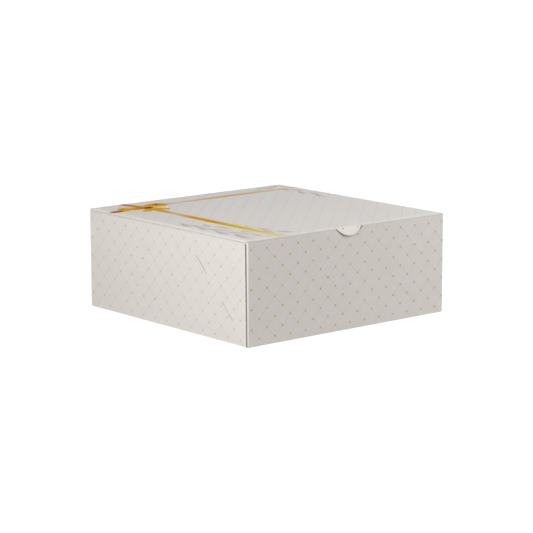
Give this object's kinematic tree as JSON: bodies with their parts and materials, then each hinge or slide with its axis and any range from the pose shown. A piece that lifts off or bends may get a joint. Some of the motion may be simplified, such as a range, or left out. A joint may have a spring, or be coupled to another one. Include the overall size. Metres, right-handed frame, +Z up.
{
  "type": "cake box",
  "caption": "Square folding cake box with a hinged tuck-in lid, lid side flaps, glued corners with diagonal cut-scored folds, and a half-moon thumb tab.",
  "frame": {"origin": "middle of the base panel's underside, where the box rests", "axes": "+Z up, +Y towards the back wall that carries the lid's hinge crease, +X to the right as seen from the front"},
  "size_m": [0.254, 0.2563, 0.1016],
  "materials": {
    "printed_board": "satin coated white with a printed dot lattice",
    "plain_board": "matt uncoated"
  },
  "bodies": {
    "carton": {"base_panel": "plain_board", "front_wall": "printed_board", "back_wall": "printed_board", "left_wall": "printed_board", "left_front_corner": "printed_board", "left_back_corner": "printed_board", "right_wall": "printed_board", "right_front_corner": "printed_board", "right_back_corner": "printed_board", "front_left_glue_flap": "plain_board", "front_right_glue_flap": "plain_board", "back_left_glue_flap": "plain_board", "back_right_glue_flap": "plain_board"},
    "lid": {"lid_panel": "printed_board"},
    "tuck": {"tuck_flap": "printed_board"},
    "tab": {"thumb_tab": "printed_board"},
    "left_flap": {"lid_left_flap": "printed_board"},
    "right_flap": {"lid_right_flap": "printed_board"}
  },
  "joints": [
    {"name": "lid_hinge", "type": "hinge", "parent": "carton", "child": "lid", "pos_m": [0, 0.126, 0.1006], "axis": [-1, 0, 0], "range_deg": [0, 180]},
    {"name": "tuck_fold", "type": "hinge", "parent": "lid", "child": "tuck", "pos_m": [0, -0.1251, 0.1006], "axis": [-1, 0, 0], "range_deg": [0, 45]},
    {"name": "thumb_tab_fold", "type": "hinge", "parent": "lid", "child": "tab", "pos_m": [0, -0.1251, 0.1006], "axis": [-1, 0, 0], "range_deg": [-23, 67], "stiffness_Nm_per_rad": 0.00005},
    {"name": "left_flap_fold", "type": "hinge", "parent": "lid", "child": "left_flap", "pos_m": [-0.1251, 0, 0.1006], "axis": [0, 1, 0], "range_deg": [0, 45]},
    {"name": "right_flap_fold", "type": "hinge", "parent": "lid", "child": "right_flap", "pos_m": [0.1251, 0, 0.1006], "axis": [0, -1, 0], "range_deg": [0, 45]}
  ],
  "couplings": [
    {"joint": "tuck_fold", "follows": "lid_hinge", "ratio": 0.25},
    {"joint": "left_flap_fold", "follows": "lid_hinge", "ratio": 0.25},
    {"joint": "right_flap_fold", "follows": "lid_hinge", "ratio": 0.25}
  ]
}
